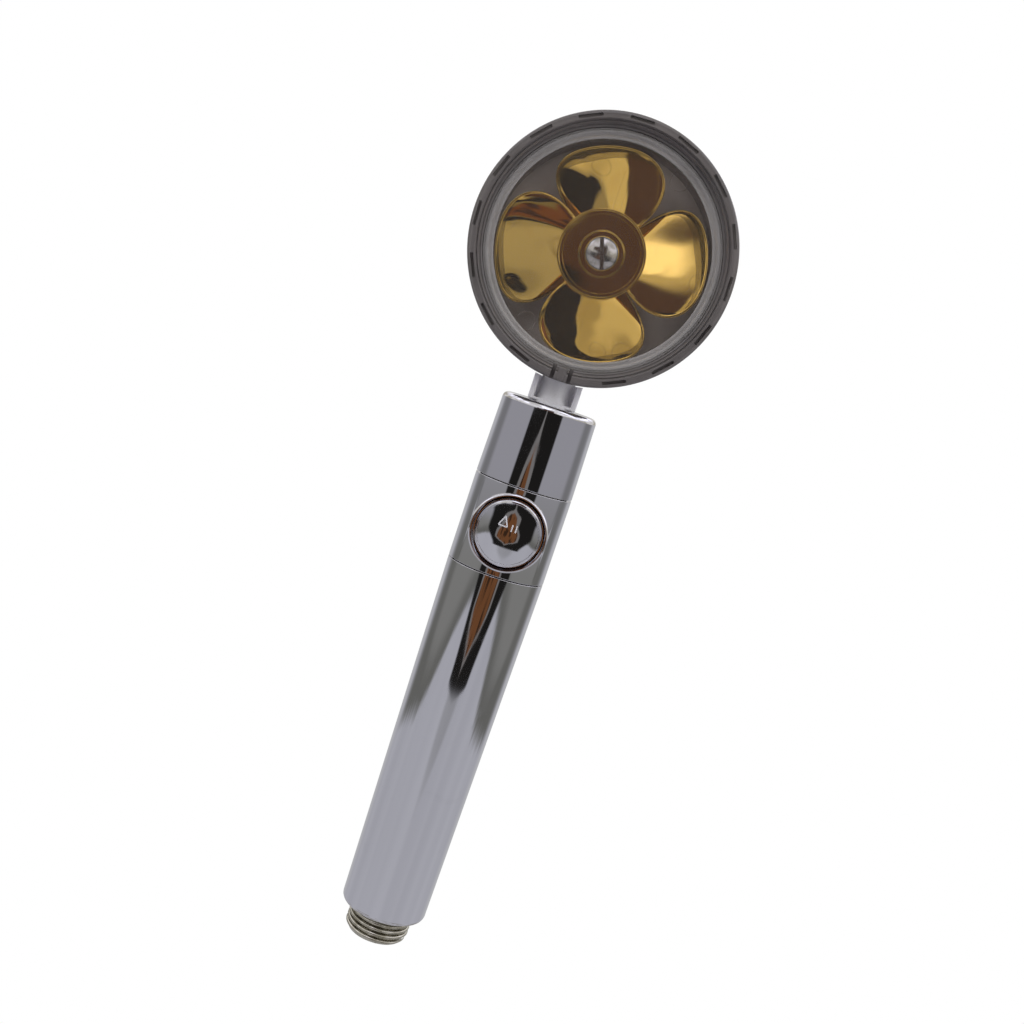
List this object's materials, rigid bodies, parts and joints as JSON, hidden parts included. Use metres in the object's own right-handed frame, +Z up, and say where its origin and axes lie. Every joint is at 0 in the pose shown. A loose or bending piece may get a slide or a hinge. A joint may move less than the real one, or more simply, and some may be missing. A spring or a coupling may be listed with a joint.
{
  "type": "handheld shower head",
  "caption": "Handheld shower head: plated tube handle with a push stop button, swivel neck and a round smoky head with a spinning bladed impeller behind a clear window.",
  "frame": {"origin": "centre of the hose thread's end face, on the handle's axis", "axes": "+Z up the handle's axis to the head; -Y is the side of the window and the stop button; +Y the side of the spray plate; +X to the right seen from the button"},
  "size_m": [0.0796, 0.0337, 0.2692],
  "materials": {
    "chrome_shell": "bright chrome plating on moulded plastic",
    "gold_plating": "bright gold-coloured plating on moulded plastic",
    "nickel_thread": "turned brass under dull nickel plating",
    "steel": "bright stainless steel",
    "smoky_plastic": "polished smoky transparent plastic",
    "clear_plastic": "polished clear plastic with a faint smoky tint",
    "frosted_plastic": "pale grey frosted plastic",
    "white_resin": "natural moulded resin",
    "grey_resin": "dark grey moulded plastic, satin",
    "black_rubber": "black moulded rubber",
    "filter_felt": "white melt-blown filter felt"
  },
  "bodies": {
    "handle": {"hose_fitting": "nickel_thread", "fitting_seal": "black_rubber", "inlet_strainer": "steel", "grip_tube": "chrome_shell", "filter_lower_cap": "white_resin", "filter_cartridge": "filter_felt", "filter_upper_cap": "white_resin", "valve_body": "white_resin", "grip_seal": "black_rubber", "button_collar": "chrome_shell", "cross_bore_plug": "white_resin", "button_spring": "steel", "top_sleeve": "chrome_shell", "sleeve_seal": "black_rubber", "swivel_bush": "white_resin", "swivel_washer": "steel"},
    "stop_button": {"button_cap": "chrome_shell", "valve_spool": "grey_resin", "spool_seal_1": "black_rubber", "spool_seal_2": "black_rubber"},
    "head": {"swivel_neck": "frosted_plastic", "stem_seal_1": "black_rubber", "stem_seal_2": "black_rubber", "retaining_clip": "steel", "head_body": "smoky_plastic", "bezel_ring": "smoky_plastic", "front_window": "clear_plastic", "window_seal": "black_rubber", "spray_plate": "grey_resin", "plate_seal": "black_rubber", "rear_ring": "smoky_plastic", "jet_insert": "smoky_plastic", "axle_screw": "steel", "front_washer": "steel", "rear_washer": "steel"},
    "impeller": {"impeller": "gold_plating", "front_bush": "white_resin", "rear_bush": "white_resin"}
  },
  "joints": [
    {"name": "head_swivel", "type": "hinge", "parent": "handle", "child": "head", "pos_m": [0, 0, 0.176], "axis": [0, 0, 1], "continuous": true},
    {"name": "impeller_spin", "type": "hinge", "parent": "head", "child": "impeller", "pos_m": [0, 0, 0.2294], "axis": [0, 1, 0], "continuous": true},
    {"name": "button_press", "type": "slide", "parent": "handle", "child": "stop_button", "axis": [0, 1, 0], "range_m": [0, 0.0035], "stiffness_N_per_m": 1200, "springref_m": -0.002, "deforming": ["button_spring"]}
  ]
}
